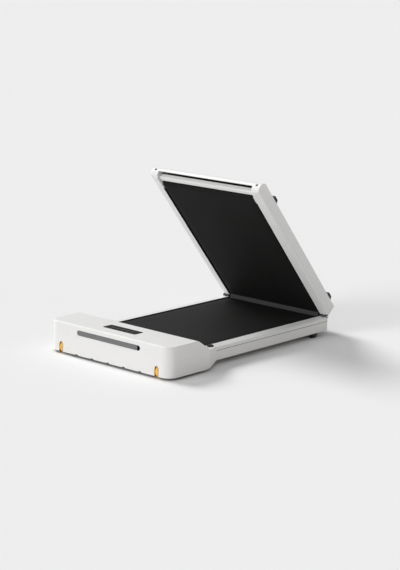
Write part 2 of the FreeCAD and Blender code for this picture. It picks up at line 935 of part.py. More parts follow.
def belt_loop_face(x, extra):
    """Area inside an open belt round both pulleys, this far out from their faces."""
    small = point(x, motor_reach, motor_level)
    large = point(x, drive_roller_reach, roller_level)
    small_radius = motor_pulley_radius + extra
    large_radius = drive_pulley_radius + extra
    bearing = math.atan2(large.z - small.z, large.y - small.y)
    spread = math.acos((small_radius - large_radius) / small.distanceToPoint(large))

    def on_circle(centre, radius, angle):
        return centre + point(0, radius * math.cos(angle), radius * math.sin(angle))

    small_ends = [on_circle(small, small_radius, bearing + sign * spread) for sign in (1, -1)]
    large_ends = [on_circle(large, large_radius, bearing + sign * spread) for sign in (1, -1)]
    small_back = on_circle(small, small_radius, bearing + math.pi)
    large_back = on_circle(large, large_radius, bearing)
    edges = [
        Part.Arc(small_ends[0], small_back, small_ends[1]).toShape(),
        Part.LineSegment(small_ends[1], large_ends[1]).toShape(),
        Part.Arc(large_ends[1], large_back, large_ends[0]).toShape(),
        Part.LineSegment(large_ends[0], small_ends[0]).toShape(),
    ]
    return Part.Face(Part.Wire(edges))


def drive_belt():
    x0 = pulley_middle_x - drive_belt_width / 2
    outer = belt_loop_face(x0, clearance + drive_belt_thickness)
    inner = belt_loop_face(x0, clearance)
    return outer.cut(inner).extrude(ALONG_X * drive_belt_width).Solids[0]


def board_corners():
    xs = (board_start_x + board_post_inset, board_end_x - board_post_inset)
    ys = (board_front + board_post_inset, board_back - board_post_inset)
    return [(x, y) for x in xs for y in ys]


def board_level():
    return base_top + board_rise


def control_board():
    z = board_level()
    return box(board_start_x, board_end_x, board_front, board_back, z, z + board_thickness)


def heat_sink():
    """Finned block on the control board."""
    x0 = board_start_x + sink_margin
    y0 = board_back - sink_margin - sink_depth
    z0 = board_level() + board_thickness
    pieces = [box(x0, x0 + sink_width, y0, y0 + sink_depth, z0, z0 + sink_base)]
    pitch = (sink_width - sink_fin) / (sink_fin_count - 1)
    for i in range(sink_fin_count):
        start = x0 + i * pitch
        pieces.append(box(start, start + sink_fin, y0, y0 + sink_depth, z0, z0 + sink_height))
    return one_solid(*pieces)


def board_capacitors():
    z0 = board_level() + board_thickness
    y = board_front + capacitor_reach_share * (board_back - board_front)
    first = board_end_x - sink_margin - capacitor_radius
    cans = []
    for i in range(capacitor_count):
        cans.append(rod_z(capacitor_radius, z0, z0 + capacitor_height, first - i * capacitor_spacing, y))
    return Part.makeCompound(cans)


def power_inlet():
    """Mains inlet: a flanged cup with its three contact pins."""
    flange = side_block(inlet_reach, inlet_flange_length, inlet_flange_height, 0, flange_thickness)
    body = side_block(inlet_reach, inlet_body_length, inlet_body_height, 0, inlet_depth)
    floor = inlet_depth - inlet_floor
    cup = side_block(
        inlet_reach, inlet_body_length - 2 * inlet_wall, inlet_body_height - 2 * inlet_wall, -overrun, floor,
    )
    pins = []
    for i in (-1, 0, 1):
        level = socket_level + (pin_offset if i == 0 else -pin_offset)
        y = inlet_reach + i * pin_pitch
        pins.append(box(
            -housing_side + floor - pin_length, -housing_side + floor,
            y - pin_thickness / 2, y + pin_thickness / 2,
            level - pin_width / 2, level + pin_width / 2,
        ))
    return Part.makeCompound([one_solid(flange, body).cut(cup)] + pins)


def rocker_pivot_x():
    return -housing_side + rocker_pivot_inset


def switch_bezel():
    """Frame of the rocker switch, with the holes that its trunnions turn in."""
    flange = side_block(switch_reach, switch_flange_length, switch_flange_height, 0, flange_thickness)
    body = side_block(switch_reach, switch_body_length, switch_body_height, 0, switch_depth)
    room = side_block(
        switch_reach, rocker_length + 2 * rocker_room, rocker_height + 2 * clearance,
        -overrun, switch_depth - flange_thickness,
    )
    half = rocker_height / 2 + trunnion_length + clearance
    bore = rod_z(
        trunnion_radius + running_fit, socket_level - half, socket_level + half,
        rocker_pivot_x(), switch_reach,
    )
    return one_solid(flange, body).cut([room, bore])


def power_rocker():
    """Rocker with a shallow dip in its face, resting with one end pressed in."""
    face = -housing_side + rocker_face_inset
    back = rocker_pivot_x() + rocker_depth / 2
    half = rocker_length / 2
    base_half = rocker_base_share * half
    z0 = socket_level - rocker_height / 2
    outline = [
        (face, switch_reach - half, 0), (back, switch_reach - base_half, 0),
        (back, switch_reach + base_half, 0), (face, switch_reach + half, 0),
        (face + rocker_dip, switch_reach, 0),
    ]
    body = upright(outline, z0, z0 + rocker_height)
    trunnion_half = rocker_height / 2 + trunnion_length
    trunnion = rod_z(
        trunnion_radius, socket_level - trunnion_half, socket_level + trunnion_half,
        rocker_pivot_x(), switch_reach,
    )
    whole = one_solid(body, trunnion)
    return whole.rotated(point(rocker_pivot_x(), switch_reach, socket_level), ALONG_Z, -rocker_tilt)


# Transport wheels and feet

def transport_wheel():
    """Right wheel: a crowned tread, dished sides and a hub."""
    middle = wheel_middle
    half = wheel_width / 2
    profile = [
        (middle - half, wheel_axle_radius + running_fit, 0),
        (middle + half, wheel_axle_radius + running_fit, 0),
        (middle + half, wheel_hub_radius, 0),
        (middle + half - wheel_dish_depth, wheel_hub_radius, 0),
        (middle + half - wheel_dish_depth, wheel_dish_radius, 0),
        (middle + half, wheel_dish_radius, 0),
        (middle + half, wheel_radius, wheel_crown),
        (middle - half, wheel_radius, wheel_crown),
        (middle - half, wheel_dish_radius, 0),
        (middle - half + wheel_dish_depth, wheel_dish_radius, 0),
        (middle - half + wheel_dish_depth, wheel_hub_radius, 0),
        (middle - half, wheel_hub_radius, 0),
    ]
    face = rounded(profile, front_view(0))
    wheel = face.revolve(point(0, 0, 0), ALONG_X, 360)
    return wheel.translated(point(0, wheel_reach, wheel_level))


def fork_places():
    """Inner and outer face of each fork plate beside the right wheel."""
    near = wheel_width / 2 + wheel_side_gap
    far = near + fork_thickness
    middle = wheel_middle
    return [(middle - far, middle - near), (middle + near, middle + far)]


def wheel_forks():
    """Two plates beside each wheel, standing on the base pan."""
    bore = rod_x(wheel_axle_radius + running_fit, 0, housing_side, wheel_reach, wheel_level)
    plates = []
    for x0, x1 in fork_places():
        start = wheel_reach - fork_depth / 2
        plate = box(x0, x1, start, start + fork_depth, base_top, wheel_level + fork_top_margin)
        plates.append(plate.cut(bore))
    return both_sides(Part.makeCompound(plates))


def wheel_axles():
    places = fork_places()
    return both_sides(rod_x(wheel_axle_radius, places[0][0], places[1][1], wheel_reach, wheel_level))


def housing_feet():
    """Round rubber feet under the base pan."""
    feet = []
    for y in (housing_foot_front_reach, housing_foot_rear_reach):
        feet.append(Part.makeCone(
            housing_foot_radius - housing_foot_taper, housing_foot_radius, cover_clearance,
            point(housing_foot_half_spread, y, 0), ALONG_Z,
        ))
    return both_sides(Part.makeCompound(feet))


# Tail of the rear half, lying flat

def tail_axle_slot(half_height):
    """Room inside the right end cap for the roller axle and its travel."""
    half = tail_axle_radius + clearance
    return box(
        rail_inner - overrun, rail_outer - cap_wall,
        tail_roller_reach - half - axle_travel, tail_roller_reach + half,
        roller_level - half_height, roller_level + half_height,
    )


def end_cap():
    """Right end cap: the rail's section with a rounded end, a plug and the tension bolt's hole."""
    cap = lengthwise(rail_section(), cap_start, tail_end)
    ends = across([
        (cap_start, rail_clearance, 0), (tail_end, rail_clearance, cap_bottom_radius),
        (tail_end, rail_top, cap_top_radius), (cap_start, rail_top, 0),
    ], 0, housing_side)
    plug_section = inset(rail_section(), rail_wall + cap_plug_gap)
    plug = lengthwise(plug_section, cap_start - cap_plug_length, cap_start)
    plug_room = lengthwise(inset(plug_section, cap_wall), cap_start - cap_plug_length - overrun, cap_start)
    groove = rail_groove(cap_start - overrun, cap_start + rail_groove_width)
    head = rod_y(
        tension_head_radius + clearance, tail_end - tension_head_recess - tension_head_length,
        tail_end + overrun, rail_middle, roller_level,
    )
    bore = rod_y(
        tension_bolt_radius + running_fit, tail_roller_reach, tail_end, rail_middle, roller_level,
    )
    slot = tail_axle_slot(tail_axle_radius + running_fit)
    return one_solid(cap.common(ends), plug.cut(plug_room)).cut([groove, head, bore, slot])


def tail_axle():
    """Fixed axle of the tail roller, cross drilled for the tension bolts."""
    half = rail_outer - cap_wall - clearance
    axle = rod_x(tail_axle_radius, -half, half, tail_roller_reach, roller_level)
    reach = tail_roller_reach + tail_axle_radius + overrun
    hole = rod_y(
        tension_bolt_radius + running_fit, tail_roller_reach - tail_axle_radius - overrun, reach,
        rail_middle, roller_level,
    )
    return axle.cut(both_sides(hole).Solids)


def tension_bolt():
    """Socket screw through the end cap into the axle."""
    head_end = tail_end - tension_head_recess
    head_start = head_end - tension_head_length
    head = rod_y(tension_head_radius, head_start, head_end, rail_middle, roller_level)
    key = rod_y(tension_key_radius, head_end - tension_key_depth, head_end + overrun, rail_middle, roller_level)
    shank = rod_y(
        tension_bolt_radius, tail_roller_reach - tension_thread_length, head_start,
        rail_middle, roller_level,
    )
    return one_solid(head.cut(key), shank)


def axle_block():
    """Guide that holds the axle beside the right end cap."""
    block = across(oblong(
        tail_roller_reach - block_fold_reach, tail_roller_reach + block_tail_reach,
        roller_level - block_bottom_reach, rail_top - block_top_gap, block_radius,
    ), rail_inner - block_thickness, rail_inner)
    bore = rod_x(tail_axle_radius + running_fit, 0, housing_side, tail_roller_reach, roller_level)
    return block.cut(bore)


def guard_bar():
    """Rounded bar across the tail beyond the belt, set back between the end caps."""
    half = rail_inner - clearance
    return across([
        (guard_start, guard_under, guard_inner_radius), (guard_end, guard_under, guard_inner_radius),
        (guard_end, guard_top, guard_radius), (guard_start, guard_top, guard_inner_radius),
    ], -half, half)


def tail_cover():
    """Tail trim flush with the end caps: a wall round the end and a lip under the belt."""
    half = rail_inner - clearance
    top = rail_top - tail_cover_drop
    inner_end = tail_end - tail_cover_wall
    inner_floor = rail_clearance + tail_cover_wall
    end = across([
        (guard_start, rail_clearance, 0), (tail_end, rail_clearance, cap_bottom_radius),
        (tail_end, top, guard_inner_radius), (guard_start, top, 0),
    ], -half, half)
    room = across([
        (guard_start - overrun, inner_floor, 0), (inner_end, inner_floor, cap_bottom_radius - tail_cover_wall),
        (inner_end, top + overrun, 0), (guard_start - overrun, top + overrun, 0),
    ], -half - overrun, half + overrun)
    lip = underside_panel(guard_start - tail_lip_length, guard_start + tail_cover_wall)
    return one_solid(end.cut(room), lip)


# Every node of the pad, by name

def front_nodes():
    fold_end = hinge_reach - rail_end_gap
    nodes = {
        "front_cross_members": cross_members(front_deck_start, front_deck_end),
        "front_deck_board": deck_board(front_deck_start, front_deck_end),
        "front_underside_panel": underside_panel(base_tail_end + clearance, fold_end),
        "front_rail_feet": both_sides(rail_foot(hinge_reach - front_foot_inset)),
        "fold_bumpers": both_sides(fold_bumper()),
        "hinge_pins": both_sides(hinge_pin()),
        "belt_front": belt_half(drive_roller_reach, hinge_reach - clearance, -1),
        "belt_bridge": belt_bridge(),
        "belt_wrap": belt_wrap(),
        "drive_roller_tube": roller_tube(drive_roller_reach),
        "drive_roller_bearings": roller_bearings(drive_roller_reach, drive_shaft_radius),
        "drive_roller_shaft": drive_roller_shaft(),
        "drive_pulley": drive_pulley(),
        "drive_belt": drive_belt(),
    }
    for name, side in SIDES.items():
        nodes["front_rail_" + name] = on_side(front_rail(), side)
        nodes["side_plate_" + name] = on_side(side_plate(), side)
        nodes["hinge_leaf_front_" + name] = on_side(front_hinge_leaf(), side)
    return nodes


def housing_nodes():
    nodes = {
        "housing_cover": housing_cover(),
        "housing_base": housing_base(),
        "housing_feet": housing_feet(),
        "cover_screws": cover_screws(),
        "display_window": display_window(),
        "display_board": display_board(),
        "front_light_bar": front_light_bar(),
        "receiver_window": receiver_window(),
        "motor_can": motor_can(),
        "motor_bracket": motor_bracket(),
        "motor_armature": motor_armature(),
        "motor_pulley": motor_pulley(),
        "control_board": control_board(),
        "heat_sink": heat_sink(),
        "board_capacitors": board_capacitors(),
        "power_inlet": power_inlet(),
        "switch_bezel": switch_bezel(),
        "power_rocker": power_rocker(),
        "wheel_forks": wheel_forks(),
        "wheel_axles": wheel_axles(),
    }
    for name, side in SIDES.items():
        nodes["transport_wheel_" + name] = on_side(transport_wheel(), side)
    return nodes


def rear_nodes():
    """The rear half's nodes, tipped up to the fold angle."""
    feet = [rail_foot(y) for y in (hinge_reach + rear_foot_inset, tail_end - tail_foot_inset)]
    nodes = {
        "rear_cross_members": cross_members(rear_deck_start, rear_deck_end),
        "rear_deck_board": deck_board(rear_deck_start, rear_deck_end),
        "rear_underside_panel": underside_panel(
            hinge_reach + rail_end_gap, guard_start - tail_lip_length - clearance),
        "rear_feet": both_sides(Part.makeCompound(feet)),
        "belt_rear": belt_half(tail_roller_reach, hinge_reach + clearance, 1),
        "tail_roller_tube": roller_tube(tail_roller_reach),
        "tail_roller_bearings": roller_bearings(tail_roller_reach, tail_axle_radius),
        "tail_roller_axle": tail_axle(),
        "tail_axle_blocks": both_sides(axle_block()),
        "tension_bolts": both_sides(tension_bolt()),
        "tail_guard_bar": guard_bar(),
        "tail_cover": tail_cover(),
    }
    for name, side in SIDES.items():
        nodes["rear_rail_" + name] = on_side(rear_rail(), side)
        nodes["rear_end_cap_" + name] = on_side(end_cap(), side)
        nodes["hinge_leaf_rear_" + name] = on_side(rear_hinge_leaf(), side)
    return {name: tipped_up(shape) for name, shape in nodes.items()}


def footprint_shift(shapes):
    """Move that brings the middle of the footprint to the origin."""
    whole = FreeCAD.BoundBox()
    for shape in shapes:
        whole.add(shape.optimalBoundingBox(False, False))
    return point(-(whole.XMin + whole.XMax) / 2, -(whole.YMin + whole.YMax) / 2, -whole.ZMin)


def walking_pad():
    """Every node in its place, and the move that was made to centre it."""
    nodes = {**front_nodes(), **housing_nodes(), **rear_nodes()}
    shift = footprint_shift(nodes.values())
    return {name: shape.translated(shift) for name, shape in nodes.items()}, shift


def main():
    os.makedirs("parts", exist_ok=True)
    nodes, shift = walking_pad()
    for name, shape in nodes.items():
        shape.exportStep("parts/" + name + ".step")
    print(len(nodes), "nodes, centred by", shift)


if __name__ == "__main__":
    main()
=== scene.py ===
import bmesh
import bpy
import json
import math
from mathutils import Matrix, Vector


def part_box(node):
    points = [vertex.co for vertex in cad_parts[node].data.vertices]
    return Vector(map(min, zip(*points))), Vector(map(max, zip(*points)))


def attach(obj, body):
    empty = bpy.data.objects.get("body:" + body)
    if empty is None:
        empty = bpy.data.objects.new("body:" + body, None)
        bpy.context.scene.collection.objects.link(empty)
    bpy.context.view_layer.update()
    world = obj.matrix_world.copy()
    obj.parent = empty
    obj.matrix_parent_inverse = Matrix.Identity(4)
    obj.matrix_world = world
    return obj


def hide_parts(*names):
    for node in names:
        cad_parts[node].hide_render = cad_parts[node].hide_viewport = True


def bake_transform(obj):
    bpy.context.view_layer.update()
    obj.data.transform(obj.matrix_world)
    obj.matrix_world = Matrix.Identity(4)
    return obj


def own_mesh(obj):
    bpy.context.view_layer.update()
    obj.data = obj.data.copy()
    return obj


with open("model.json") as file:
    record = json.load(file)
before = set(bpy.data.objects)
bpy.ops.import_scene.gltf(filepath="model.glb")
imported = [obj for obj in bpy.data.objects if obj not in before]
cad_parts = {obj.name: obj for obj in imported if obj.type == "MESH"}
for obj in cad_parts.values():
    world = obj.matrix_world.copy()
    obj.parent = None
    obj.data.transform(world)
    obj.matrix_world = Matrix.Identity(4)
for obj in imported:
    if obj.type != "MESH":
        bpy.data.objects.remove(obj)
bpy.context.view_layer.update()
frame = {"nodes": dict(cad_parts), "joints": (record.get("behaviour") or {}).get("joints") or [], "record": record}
MM = 0.001
AXIS_X, AXIS_Y, AXIS_Z = Vector((1, 0, 0)), Vector((0, 1, 0)), Vector((0, 0, 1))

# Camera, as fitted to the photograph's edges: angles in degrees, lengths in metres
CAMERA_AZIMUTH = 40.602
CAMERA_ELEVATION = 12.309
CAMERA_ROLL = 1.688
CAMERA_DISTANCE = 5.5854
CAMERA_TARGET = Vector((-0.13038, 0.1456, 0.15062))
CAMERA_LENS_MM = 103.947
CAMERA_SENSOR_MM = 36.0

# Studio light: angles in degrees, azimuth 0 straight in front and positive to the right.
# The sky lights the pad with the first two strengths, at the horizon and overhead; the camera and
# reflections see it with the third.
SKY_STRENGTHS = (0.08, 0.5)
SKY_SEEN = 0.85
SKY_HORIZON_COLOUR = (1.0, 0.998, 0.994)
SKY_ZENITH_COLOUR = (0.985, 0.992, 1.0)
LAMP_WHITE = (1.0, 1.0, 1.0)
LAMP_WARM = (1.0, 0.93, 0.84)
LAMPS = {
    "left": {
        "azimuth": -88.0, "elevation": 42.0, "softness": 25.0,
        "strength": 1.95, "colour": LAMP_WHITE,
    },
    "front": {
        "azimuth": -16.0, "elevation": 18.0, "softness": 28.0,
        "strength": 1.3, "colour": LAMP_WHITE,
    },
    "right": {
        "azimuth": 98.0, "elevation": 8.0, "softness": 40.0,
        "strength": 0.3, "colour": LAMP_WARM,
    },
}
FLOOR_COLOUR = (0.93, 0.93, 0.93, 1.0)
FLOOR_SIZE = 120.0

# Walking belt
BELT_EDGE = 0.6 * MM
BELT_EDGE_SEGMENTS = 2
BELT_SHARP_ANGLE = math.radians(50)
BELT_TURN_STEPS = 24
BELT_RUN_STEP = 25 * MM
BELT_WIDTH_STEPS = 16

# Belt at the fold: a creased strip inside it and the return run round its outside
BRIDGE_SAG = 1.6 * MM
BRIDGE_STEPS = 24
BRIDGE_CREASES = 4
BRIDGE_CREASE_DEPTH = 0.35 * MM
BRIDGE_THICKNESS = 1.2 * MM
RETURN_STEPS = 40

# Softened edges of carried-over solids
MERGE_DISTANCE = 0.01 * MM
FLAT_ANGLE = math.radians(0.5)
SHARP_ANGLE = math.radians(30)
RUBBER_EDGE = 1.6 * MM
TRIM_EDGE = 0.5 * MM
EDGE_SEGMENTS = 3

# Transport wheels
WHEEL_STEPS = 72
WHEEL_TREAD_STEPS = 14
WHEEL_CROWN = 2.8 * MM
WHEEL_CROWN_POWER = 4
WHEEL_GROOVE_DEPTH = 0.7 * MM
WHEEL_GROOVE_SHARES = (-0.35, 0.35)
WHEEL_GROOVE_WIDTH_SHARE = 0.1
WHEEL_DISH_DEPTH = 2.5 * MM
WHEEL_DISH_SHARES = (0.48, 0.54, 0.72, 0.78)
WHEEL_BORE = 4.05 * MM

# Places of the colour sockets on a Mix node
MIX_FIRST_COLOUR = 6
MIX_SECOND_COLOUR = 7
MIX_COLOUR_RESULT = 2

# Painted shade: surfaces painted black where gaps and recesses lie in shade, on the walls beside the
# belt, the line along the front rails, the hinge knuckles and the hollows at the tail
PAINTED_SHADE_COLOUR = (0.012, 0.012, 0.013)
SHADE_MASK_MARGIN = 0.3 * MM
SHADE_MASK_FACING = 0.9
RAIL_LINE_DEPTH = 0.8 * MM
KNUCKLE_RADIUS = 6.0 * MM
POCKET_DEPTH = 6.0 * MM
GUARD_SHOWN = 16.0 * MM


# Finishes that several pieces share: noises by scale per metre and detail, reliefs by strength
# and height

MOULDED_MOTTLE = {"scale": 9.0, "detail": 3.0}
MOULDED_GLOSS = {"scale": 35.0, "detail": 4.0}
MOULDED_GLOSS_SPREAD = 0.06
MOULDED_GRAIN_HEIGHT = 0.2 * MM
SPARK_GRAIN_SCALE = 1800.0
SPARK_GRAIN_STRENGTH = 0.12
PLAIN_SPECULAR = 0.5

COAT_MOTTLE = {"scale": 6.0, "detail": 3.0}
COAT_GLOSS = {"scale": 60.0, "detail": 3.0}
COAT_GLOSS_SPREAD = 0.05
COAT_PEEL = {"scale": 700.0, "detail": 2.0}
COAT_PEEL_RELIEF = {"strength": 0.08, "distance": 0.2 * MM}

BRUSHED_LINES = {"scale": 1.0, "detail": 4.0}
BRUSHED_SMOOTHER = 0.08
BRUSHED_ROUGHER = 0.1
BRUSHED_RELIEF = {"strength": 0.1, "distance": 0.1 * MM}
LINES_ALONG_X = (20.0, 900.0, 900.0)

POLISH_MOTTLE = {"scale": 14.0, "detail": 3.0}
POLISH_GLOSS = {"scale": 80.0, "detail": 3.0}
POLISH_GLOSS_SPREAD = 0.08
POLISH_WAVE = {"scale": 300.0, "detail": 1.0}
POLISH_RELIEF = {"strength": 0.02, "distance": 0.1 * MM}

SHELL_WHITE = ((0.81, 0.803, 0.79), (0.835, 0.83, 0.82))
SHELL_ROUGHNESS = 0.46

# Finishes of single kinds of piece; tones and roughness are given where their pattern is 0 and 1

WEAVE_PITCH = 6.5 * MM
WEAVE_CLOTH = {"scale": 1500.0, "detail": 2.0}
WEAVE_CLOTH_SHARE = 0.25
WEAVE_WEAR = {"scale": 5.0, "detail": 4.0}
WEAVE_WEAR_SHARE = 0.45
WEAVE_CELL_SHARE = 0.55
WEAVE_TONES = ((0.0035, 0.0034, 0.0033), (0.0185, 0.018, 0.0175))
WEAVE_ROUGHNESS = (0.78, 0.6)
WEAVE_RELIEF = {"strength": 0.5, "distance": 0.35 * MM}
WEAVE_SPECULAR = 0.1

CREASE_STRETCH = (60.0, 1400.0, 1400.0)
CREASE_THREADS = {"scale": 1.0, "detail": 3.0}
# The crease's tones are lighter than the belt's weave: painted light and sheen on the fold strip
CREASE_PAINTED_LIGHT_TONES = ((0.026, 0.026, 0.027), (0.066, 0.066, 0.068))
CREASE_ROUGHNESS = (0.7, 0.85)
CREASE_RELIEF = {"strength": 0.4, "distance": 0.3 * MM}
CREASE_SPECULAR = 0.25

FIELD_PITCH = 20 * MM
FIELD_COUNT = 6
FIELD_GAP_SHARE = 0.14
FIELD_DEPTH_SHARE = 0.5
# The pale tone paints streaks of reflection across the window
WINDOW_TONES_WITH_PAINTED_STREAKS = ((0.003, 0.003, 0.0033), (0.1, 0.1, 0.104))
WINDOW_GLOSS = {"scale": 80.0, "detail": 3.0}
WINDOW_ROUGHNESS = (0.2, 0.28)
WINDOW_SPECULAR = 0.01

RIB_PITCH = 9 * MM
RIB_SHARE = 0.7
RIB_RELIEF = {"strength": 0.15, "distance": 0.2 * MM}
BAR_MOTTLE = {"scale": 40.0, "detail": 3.0}
BAR_MOTTLE_SHARE = 0.3
BAR_TONES = ((0.125, 0.125, 0.128), (0.185, 0.185, 0.19))
BAR_GLOSS = {"scale": 90.0, "detail": 2.0}
BAR_ROUGHNESS = (0.32, 0.44)

AMBER_MOTTLE = {"scale": 60.0, "detail": 3.0}
AMBER_TONES = ((0.90, 0.46, 0.05), (0.96, 0.60, 0.12))
AMBER_GLOSS = {"scale": 120.0, "detail": 3.0}
AMBER_ROUGHNESS = (0.12, 0.2)
AMBER_GRAIN = {"scale": 900.0, "detail": 2.0}
AMBER_RELIEF = {"strength": 0.06, "distance": 0.1 * MM}
AMBER_SUBSURFACE = 0.15
AMBER_SUBSURFACE_DEPTH = 3 * MM

TRACK_SCALE = 60.0
TRACK_WIDTH = 0.03
TRACK_COLOUR = (0.2, 0.26, 0.12, 1)
BOARD_COLOURS = ((0.012, 0.09, 0.04, 1), (0.015, 0.11, 0.05, 1))
BOARD_GLOSS = {"scale": 90.0, "detail": 2.0}
BOARD_ROUGHNESS = (0.35, 0.5)
TRACK_RELIEF = {"strength": 0.2, "distance": 0.1 * MM}

FLOOR_GLOSS = {"scale": 40.0, "detail": 3.0}
FLOOR_ROUGHNESS = (0.85, 0.95)
FLOOR_SPECULAR = 0.0


class Shader:
    """A material's node tree with short calls for the nodes used here."""

    def __init__(self, name):
        self.material = bpy.data.materials.new(name)
        self.material.use_nodes = True
        self.nodes = self.material.node_tree.nodes
        self.links = self.material.node_tree.links
        self.bsdf = self.nodes["Principled BSDF"]

    def add(self, kind, **inputs):
        node = self.nodes.new(kind)
        for key, value in inputs.items():
            self.put(node.inputs[key.replace("_", " ")], value)
        return node

    def put(self, socket, value):
        if isinstance(value, bpy.types.NodeSocket):
            self.links.new(value, socket)
        else:
            socket.default_value = value

    def place(self):
        """Position on the piece, in metres."""
        return self.add("ShaderNodeTexCoord").outputs["Object"]

    def axes(self, where=None):
        """The X, Y and Z parts of a place, which is the position on the piece unless given."""
        where = self.place() if where is None else where
        return self.add("ShaderNodeSeparateXYZ", Vector=where).outputs

    def along(self, where, line):
        """How far a place or a direction reaches along a line."""
        node = self.nodes.new("ShaderNodeVectorMath")
        node.operation = "DOT_PRODUCT"
        self.links.new(where, node.inputs[0])
        node.inputs[1].default_value = line
        return node.outputs["Value"]

    def facing(self, line):
        """How far the surface faces along a line, from -1 to 1."""
        return self.along(self.add("ShaderNodeTexCoord").outputs["Normal"], line)

    def stretched(self, scales):
        mapping = self.add("ShaderNodeMapping", Vector=self.place())
        mapping.inputs["Scale"].default_value = scales
        return mapping.outputs["Vector"]

    def noise(self, scale, detail=2.0, where=None):
        where = self.place() if where is None else where
        node = self.add("ShaderNodeTexNoise", Vector=where, Scale=scale, Detail=detail)
        return node.outputs["Fac"]

    def math(self, operation, first, second=0.0):
        node = self.nodes.new("ShaderNodeMath")
        node.operation = operation
        self.put(node.inputs[0], first)
        self.put(node.inputs[1], second)
        return node.outputs[0]

    def inside(self, value, middle, half):
        """1 where a value is within a half width of the middle, else 0."""
        away = self.math("ABSOLUTE", self.math("SUBTRACT", value, middle))
        return self.math("LESS_THAN", away, half)

    def blended(self, first, first_share, second, second_share):
        """The sum of two values, each times its share."""
        first_part = self.math("MULTIPLY", first, first_share)
        second_part = self.math("MULTIPLY", second, second_share)
        return self.math("ADD", first_part, second_part)

    def span(self, value, low, high):
        """A value from 0 to 1, spread between two numbers."""
        node = self.add("ShaderNodeMapRange", Value=value, To_Min=low, To_Max=high)
        return node.outputs["Result"]

    def tint(self, factor, dark, light):
        """The dark colour where the factor is 0, the light one where it is 1."""
        ramp = self.nodes.new("ShaderNodeValToRGB")
        ramp.color_ramp.elements[0].color = (*dark, 1)
        ramp.color_ramp.elements[1].color = (*light, 1)
        self.put(ramp.inputs["Fac"], factor)
        return ramp.outputs["Color"]

    def with_painted_shade(self, colour, shade_mask):
        """The colour, made black as painted shade where shade_mask(shader) is 1."""
        if shade_mask is None:
            return colour
        node = self.nodes.new("ShaderNodeMix")
        node.data_type = "RGBA"
        self.put(node.inputs["Factor"], shade_mask(self))
        self.put(node.inputs[MIX_FIRST_COLOUR], colour)
        node.inputs[MIX_SECOND_COLOUR].default_value = (*PAINTED_SHADE_COLOUR, 1)
        return node.outputs[MIX_COLOUR_RESULT]

    def bump(self, height, strength, distance):
        node = self.add("ShaderNodeBump", Height=height, Strength=strength, Distance=distance)
        return node.outputs["Normal"]

    def surface(self, **inputs):
        for key, value in inputs.items():
            self.put(self.bsdf.inputs[key.replace("_", " ")], value)
        return self.material


def grey(value):
    return (value, value, value)


def moulded(name, tones, rough, grain_scale=SPARK_GRAIN_SCALE, grain=SPARK_GRAIN_STRENGTH,
            specular=PLAIN_SPECULAR, shade_mask=None):
    """Moulded plastic or rubber: soft mottling, spark grain, uneven gloss, and painted shade in black where the
    shade mask is 1.
    """
    s = Shader(name)
    gloss = s.noise(**MOULDED_GLOSS)
    return s.surface(
        Base_Color=s.with_painted_shade(s.tint(s.noise(**MOULDED_MOTTLE), *tones), shade_mask),
        Roughness=s.span(gloss, rough - MOULDED_GLOSS_SPREAD, rough + MOULDED_GLOSS_SPREAD),
        Normal=s.bump(s.noise(grain_scale), grain, MOULDED_GRAIN_HEIGHT),
        Specular_IOR_Level=specular,
    )


def coated(name, tones, rough, shade_mask=None):
    """Paint or film on metal or board: a faint mottle and orange peel, and painted shade in black where the shade
    mask is 1.
    """
    s = Shader(name)
    gloss = s.noise(**COAT_GLOSS)
    return s.surface(
        Base_Color=s.with_painted_shade(s.tint(s.noise(**COAT_MOTTLE), *tones), shade_mask),
        Roughness=s.span(gloss, rough - COAT_GLOSS_SPREAD, rough + COAT_GLOSS_SPREAD),
        Normal=s.bump(s.noise(**COAT_PEEL), **COAT_PEEL_RELIEF),
    )


def brushed(name, tones, rough, scales=LINES_ALONG_X):
    """Bare metal with fine lines along the axes that have the smallest scales."""
    s = Shader(name)
    lines = s.noise(where=s.stretched(scales), **BRUSHED_LINES)
    return s.surface(
        Base_Color=s.tint(lines, *tones),
        Metallic=1.0,
        Roughness=s.span(lines, rough - BRUSHED_SMOOTHER, rough + BRUSHED_ROUGHER),
        Normal=s.bump(lines, **BRUSHED_RELIEF),
    )


def glossy(name, tones, rough):
    """Polished plastic."""
    s = Shader(name)
    return s.surface(
        Base_Color=s.tint(s.noise(**POLISH_MOTTLE), *tones),
        Roughness=s.span(s.noise(**POLISH_GLOSS), rough, rough + POLISH_GLOSS_SPREAD),
        Normal=s.bump(s.noise(**POLISH_WAVE), **POLISH_RELIEF),
    )


def belt_material():
    """Black belt with a raised diamond weave, laid out along the belt by its UV map in metres."""
    s = Shader("belt_weave")
    uv = s.axes(s.add("ShaderNodeTexCoord").outputs["UV"])
    across, along = (s.math("MULTIPLY", uv[axis], math.pi / WEAVE_PITCH) for axis in ("X", "Y"))
    waves = [
        s.math("ABSOLUTE", s.math("SINE", s.math(kind, across, along)))
        for kind in ("ADD", "SUBTRACT")
    ]
    cell = s.math("MULTIPLY", *waves)
    cloth = s.math("MULTIPLY", s.noise(**WEAVE_CLOTH), WEAVE_CLOTH_SHARE)
    tone = s.blended(cell, WEAVE_CELL_SHARE, s.noise(**WEAVE_WEAR), WEAVE_WEAR_SHARE)
    return s.surface(
        Base_Color=s.tint(tone, *WEAVE_TONES),
        Roughness=s.span(cell, *WEAVE_ROUGHNESS),
        Normal=s.bump(s.math("ADD", cell, cloth), **WEAVE_RELIEF),
        Specular_IOR_Level=WEAVE_SPECULAR,
    )


def crease_material():
    """The belt where it creases inside the fold: fine threads along the crease, in tones lighter than the weave's
    that paint the light and sheen the strip catches.
    """
    s = Shader("belt_crease")
    threads = s.noise(where=s.stretched(CREASE_STRETCH), **CREASE_THREADS)
    return s.surface(
        Base_Color=s.tint(threads, *CREASE_PAINTED_LIGHT_TONES),
        Roughness=s.span(threads, *CREASE_ROUGHNESS),
        Normal=s.bump(threads, **CREASE_RELIEF),
        Specular_IOR_Level=CREASE_SPECULAR,
    )


